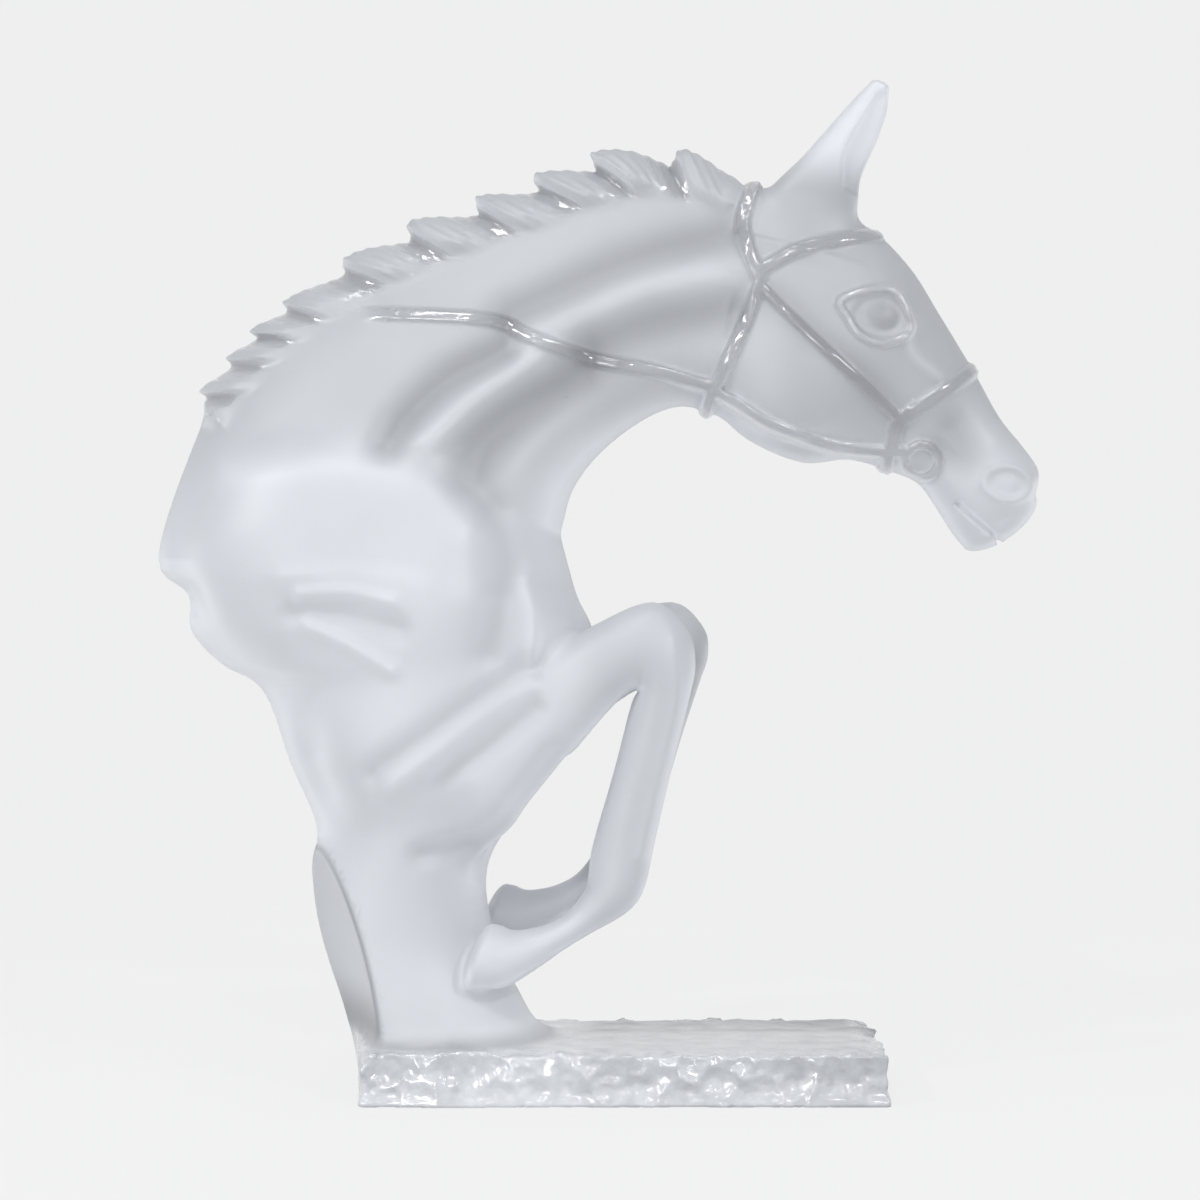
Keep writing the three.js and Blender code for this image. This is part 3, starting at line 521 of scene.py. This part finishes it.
def skin(field, low, high, grid):
    """Surface nets on the cells near the skin, found by halving larger cells."""
    corner_steps = np.array([[c & 1, c >> 1 & 1, c >> 2 & 1] for c in range(8)])
    count = np.ceil((np.array(high) - low) / (8 * grid)).astype(int)
    cells = np.stack(np.meshgrid(*[np.arange(n) for n in count], indexing="ij"), axis=-1).reshape(-1, 3) * 8
    for edge in (8, 4, 2):
        d = field(low + (cells + edge / 2) * grid)
        cells = cells[np.abs(d) < 2.0 * edge * grid]
        cells = (cells[:, None] + corner_steps * (edge // 2)).reshape(-1, 3)
    spread = np.array([1, 4096, 4096 * 4096])
    corners = (cells[:, None] + corner_steps).reshape(-1, 3) @ spread
    keys, index = np.unique(corners, return_inverse=True)
    index = index.reshape(-1, 8)
    places = np.stack([keys % 4096, keys // 4096 % 4096, keys // 4096**2], axis=1)
    d = field(low + places * grid)
    # A square of samples with crossed signs would pinch the skin, so its nearest outer sample is filled.
    squares = [(0, 1, 3, 2), (4, 5, 7, 6), (0, 1, 5, 4), (2, 3, 7, 6), (0, 2, 6, 4), (1, 3, 7, 5)]
    for _ in range(12):
        for square in squares:
            at = index[:, square]
            a, b, c, e = (d[at] < 0).T
            crossed = at[(a == c) & (b == e) & (a != b)]
            outer = np.where(d[crossed] < 0, np.inf, d[crossed]).argmin(axis=1)
            d[crossed[np.arange(len(crossed)), outer]] = -1e-3
    values = d[index]
    inside = (values < 0).sum(axis=1)
    kept = (inside > 0) & (inside < 8)
    cells, values = cells[kept], values[kept]
    total, weight = np.zeros((len(cells), 3)), np.zeros(len(cells))
    for a in range(8):
        for bit in (1, 2, 4):
            if a & bit:
                continue
            va, vb = values[:, a], values[:, a | bit]
            crossed = (va < 0) != (vb < 0)
            t = np.where(crossed, va / np.where(crossed, va - vb, 1), 0)[:, None]
            point = corner_steps[a] * (1 - t) + corner_steps[a | bit] * t
            total += point * crossed[:, None]
            weight += crossed
    vertices = low + (cells + total / weight[:, None]) * grid
    cell_keys = cells @ spread
    order = np.argsort(cell_keys)
    quads = []
    for axis in range(3):
        here, there = values[:, 0] < 0, values[:, 1 << axis] < 0
        crossed = np.nonzero(here != there)[0]
        p, q = spread[(axis + 1) % 3], spread[(axis + 2) % 3]
        around = np.stack([cell_keys[crossed] - s for s in (0, p, p + q, q)], axis=1)
        found = np.clip(np.searchsorted(cell_keys, around, sorter=order), 0, len(order) - 1)
        quad = order[found]
        quad = np.where(here[crossed][:, None], quad, quad[:, ::-1])
        quads.append(quad[(cell_keys[order[found]] == around).all(axis=1)])
    return vertices, np.concatenate(quads)


def settle(field, points):
    """One step along the field's slope, so that the thinned mesh lies on the true skin again."""
    step, longest = 0.05, 0.3
    value = field(points)
    slope = np.stack([(field(points + step * axis) - value) / step for axis in np.eye(3)], axis=1)
    steep = np.maximum((slope**2).sum(axis=1), 0.2)
    reach = np.clip(value / np.sqrt(steep), -longest, longest) / np.sqrt(steep)
    return points - slope * reach[:, None]


grid = 0.85
triangle_target = 184000
floor_reach = 0.12
vertices, quads = skin(horse, np.array([-162.0, -56.0, -6.0]), (146, 56, 340), grid)
casting_mesh = bpy.data.meshes.new("horse_casting")
casting_mesh.from_pydata(vertices, [], quads.tolist())
casting = bpy.data.objects.new("horse_casting", casting_mesh)
bpy.context.scene.collection.objects.link(casting)
thin = casting.modifiers.new("thin", "DECIMATE")
thin.ratio = triangle_target / (2 * len(quads))
bpy.context.view_layer.objects.active = casting
bpy.ops.object.modifier_apply(modifier="thin")
casting_mesh = casting.data
points = np.empty(3 * len(casting_mesh.vertices))
casting_mesh.vertices.foreach_get("co", points)
points = settle(horse, points.reshape(-1, 3))
points[points[:, 2] < floor_reach, 2] = 0.0
casting_mesh.vertices.foreach_set("co", (points / 1000).ravel())
casting_mesh.update()
casting_mesh.shade_smooth()

normals = np.empty(3 * len(points))
casting_mesh.vertices.foreach_get("normal", normals)
ny, nz = normals.reshape(-1, 3)[:, 1:].T
x, y, z = points.T
run, depth = along_crest(points)
mane = smoothstep(17, 10, depth) * smoothstep(3, 1, wall(points))
polish = np.maximum(np.maximum(tack(points), lid_relief(points) / lid_height), mane)
hewn = smoothstep(base_height + 1, base_height - 1, z) * smoothstep(-3, -1, base_form(points))
shoulder_line = np.interp(x, [-150, -128, -88, -60, -46, -34, -15], [196, 205, 208, 199, 188, 200, 216])
from_cut = np.abs(np.linalg.norm(points - back_cut_middle, axis=1) - back_cut_radius)
neck_part = smoothstep(-14, 20, z - shoulder_line)
head_part = smoothstep(40, 60, x)
# Painted rim light along the edges that face sideways and down, above the base.
painted_rim_light = smoothstep(0.9, 0.3, np.abs(ny)) * smoothstep(0.35, -0.2, nz) * smoothstep(20, 40, z)
ear_part = smoothstep(296, 312, z) * smoothstep(40, 55, x)
foreleg_part = smoothstep(-20, -5, x) * smoothstep(165, 140, z)
hoof_part = smoothstep(70, 45, z) * smoothstep(-56, -45, x)
cut_part = smoothstep(2.5, 0.5, from_cut) * smoothstep(base_height, base_height + 6, z)
base_part = smoothstep(base_height + 6, base_height, z)
# Paleness of the rubbed skin, from clear at 0 to white at 1, with painted light and shade laid into it.
# Painted shade: the neck and the head are darker than the shoulder, trunk and legs.
frost_and_painted_light = 0.62 - 0.165 * neck_part - 0.085 * head_part
# Painted shade in the hollows of the muscles and painted light on their ridges, stronger up the neck.
frost_and_painted_light += (0.055 + 0.03 * smoothstep(180, 220, z)) * muscle_relief(points)
# Painted light: a pale rim on the lower edges, and light glowing through the thin ear and hoof.
frost_and_painted_light += 0.5 * painted_rim_light + 0.37 * ear_part + 0.1 * hoof_part
# Painted rim light on the back edge of the trunk; the tip of the muzzle is a little lighter.
frost_and_painted_light += 0.07 * smoothstep(-130, -148, x) + 0.04 * smoothstep(102, 125, x)
# Both forelegs are a little darker, and the far one darker still as painted shade.
frost_and_painted_light -= (0.1 + 0.26 * smoothstep(0, 10, y)) * foreleg_part
# Painted shade on the cut face at the back of the trunk; the eyeball is a little darker.
frost_and_painted_light -= 0.5 * cut_part + 0.15 * smoothstep(1, 0, eyeball(mirror(points)))
frost_and_painted_light -= 0.39 * base_part - 0.26 * hewn
frost_and_painted_light -= 0.16 * tack(points)
# The mane is set darker, as clear polished resin, with painted shade in the grooves between the locks and
# painted light on their crests.
frost_and_painted_light += mane * (0.12 + 0.48 * lock_wave(run, depth) - frost_and_painted_light)
for name, value in (("polish", polish), ("frost_and_painted_light", np.clip(frost_and_painted_light, 0, 1)), ("hewn", hewn)):
    layer = casting_mesh.attributes.new(name, "FLOAT", "POINT")
    layer.data.foreach_set("value", value)


class Shade:
    """One socket of a node tree. Arithmetic on it adds Math nodes."""

    def __init__(self, tree, socket=None):
        self.tree = tree
        self.socket = socket

    def node(self, kind, settings, sockets, output=0):
        made = self.tree.nodes.new(kind)
        for name, value in settings.items():
            setattr(made, name, value)
        for name, value in sockets.items():
            if isinstance(value, Shade):
                self.tree.links.new(value.socket, made.inputs[name])
            else:
                made.inputs[name].default_value = value
        return Shade(self.tree, made.outputs[output] if len(made.outputs) else None)

    def math(self, operation, first, second):
        return self.node("ShaderNodeMath", {"operation": operation}, {0: first, 1: second})

    def __add__(self, other):
        return self.math("ADD", self, other)

    def __radd__(self, other):
        return self.math("ADD", other, self)

    def __sub__(self, other):
        return self.math("SUBTRACT", self, other)

    def __rsub__(self, other):
        return self.math("SUBTRACT", other, self)

    def __mul__(self, other):
        return self.math("MULTIPLY", self, other)

    def __rmul__(self, other):
        return self.math("MULTIPLY", other, self)


def frosted_resin():
    made = bpy.data.materials.new("frosted_resin")
    made.use_nodes = True
    made.node_tree.nodes.clear()
    tree = Shade(made.node_tree)
    place = tree.node("ShaderNodeTexCoord", {}, {}, "Object")
    cloud = tree.node("ShaderNodeTexNoise", {}, {"Vector": place, "Scale": 22.0, "Detail": 3.0}, "Fac")
    grain = tree.node("ShaderNodeTexNoise", {}, {"Vector": place, "Scale": 2600.0, "Detail": 2.0}, "Fac")
    shards = tree.node("ShaderNodeTexNoise", {}, {"Vector": place, "Scale": 170.0, "Detail": 4.0}, "Fac")
    polished = tree.node("ShaderNodeAttribute", {"attribute_name": "polish"}, {}, "Fac")
    frost_and_painted_light = tree.node("ShaderNodeAttribute", {"attribute_name": "frost_and_painted_light"}, {}, "Fac")
    hewn = tree.node("ShaderNodeAttribute", {"attribute_name": "hewn"}, {}, "Fac")
    # Colour runs from clear grey to white with the paleness attribute, which carries painted light and
    # shade as well as the frosting, plus random cloudiness and chip tones.
    colour = tree.node("ShaderNodeMix", {"data_type": "RGBA"}, {
        0: frost_and_painted_light + (cloud - 0.5) * 0.12 + hewn * (shards - 0.5) * 0.5,
        6: (0.24, 0.249, 0.268, 1), 7: (0.93, 0.955, 1.0, 1),
    }, 2)
    gloss = tree.math("MAXIMUM", polished, hewn * 0.7)
    roughness = 0.46 + (cloud - 0.5) * 0.1 - gloss * 0.34
    bump = tree.node("ShaderNodeBump", {}, {
        "Strength": 0.25, "Distance": 0.0006,
        "Height": grain * 0.3 * (1 - gloss) + shards * (hewn * 3 + polished * 3.5),
    })
    surface = tree.node("ShaderNodeBsdfPrincipled", {}, {
        "Base Color": colour, "Roughness": roughness, "Normal": bump, "Coat Weight": gloss * 0.8,
        "Coat Roughness": 0.04, "IOR": 1.5, "Transmission Weight": 0.35,
    })
    tree.node("ShaderNodeOutputMaterial", {}, {"Surface": surface})
    return made


casting_mesh.materials.append(frosted_resin())
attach(casting, "root")
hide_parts("horse_sculpture")

# Studio
# A pale sweep of paper under and behind the sculpture, a soft front light, small lights and soft boxes
# for the glints, and a long lens level with the middle of the sculpture.
sweep_mesh = bpy.data.meshes.new("sweep")
profile = [(-3.0, 0.0), (0.9, 0.0)]
profile += [(0.9 + 0.8 * math.sin(a), 0.8 - 0.8 * math.cos(a)) for a in np.linspace(0.1, math.pi / 2, 12)]
profile += [(1.7, 4.0)]
sweep_points = [(x, y, z) for y, z in profile for x in (-4.0, 4.0)]
sweep_faces = [(2 * i, 2 * i + 1, 2 * i + 3, 2 * i + 2) for i in range(len(profile) - 1)]
sweep_mesh.from_pydata(sweep_points, [], sweep_faces)
sweep_mesh.shade_smooth()
sweep = bpy.data.objects.new("sweep", sweep_mesh)
bpy.context.scene.collection.objects.link(sweep)
paper = bpy.data.materials.new("pale_paper")
paper.use_nodes = True
paper_shader = paper.node_tree.nodes["Principled BSDF"]
paper_shader.inputs["Base Color"].default_value = (0.12, 0.12, 0.12, 1)
paper_shader.inputs["Roughness"].default_value = 0.9
paper_shader.inputs["Specular IOR Level"].default_value = 0.0
paper_shader.inputs["Emission Color"].default_value = (1, 1, 1, 1)
paper_shader.inputs["Emission Strength"].default_value = 0.76
sweep_mesh.materials.append(paper)


def soft_light(name, place, target, size, power):
    data = bpy.data.lights.new(name, "AREA")
    data.shape = "SQUARE"
    data.size = size
    data.energy = power
    lamp = bpy.data.objects.new(name, data)
    lamp.location = place
    aim = np.array(target) - place
    tilt = math.acos(-aim[2] / np.linalg.norm(aim))
    lamp.rotation_euler = (tilt, 0, math.atan2(aim[1], aim[0]) - math.pi / 2)
    bpy.context.scene.collection.objects.link(lamp)
    return lamp


soft_light("front_light", (-0.7, -1.7, 0.5), (0, 0, 0.15), 0.9, 3)
soft_light("left_spark", (-0.9, -0.7, 0.9), (0, 0, 0.2), 0.06, 3.6)
soft_light("right_spark", (0.7, -0.9, 0.8), (0, 0, 0.2), 0.06, 3.0)
soft_light("front_spark", (-0.2, -1.0, 1.0), (0, 0, 0.2), 0.05, 2.4)
soft_light("low_spark", (0.25, -1.2, 0.35), (0, 0, 0.2), 0.04, 1.1)
# Soft boxes that only show as glints on the polished parts.
for name, place in (
    ("left_box", (-1.0, -0.8, 0.9)), ("right_box", (0.9, -1.0, 0.7)), ("top_box", (-0.2, -0.6, 1.4)),
    ("low_box", (-0.5, -1.3, 0.1)),
):
    box = soft_light(name, place, (0, 0, 0.2), 0.3, 4)
    box.visible_diffuse = False
    box.visible_transmission = False
world = bpy.data.worlds.new("studio")
world.use_nodes = True
world.node_tree.nodes["Background"].inputs["Color"].default_value = (0.97, 0.98, 1.0, 1)
world.node_tree.nodes["Background"].inputs["Strength"].default_value = 0.678
bpy.context.scene.world = world
bpy.context.scene.view_settings.view_transform = "Standard"

lens = bpy.data.cameras.new("camera")
lens.sensor_width = 36
lens.lens = 89.64
camera = bpy.data.objects.new("camera", lens)
camera.location = (-0.008, -0.996, 0.1622)
camera.rotation_euler = (math.pi / 2, 0, 0)
bpy.context.scene.collection.objects.link(camera)
bpy.context.scene.camera = camera
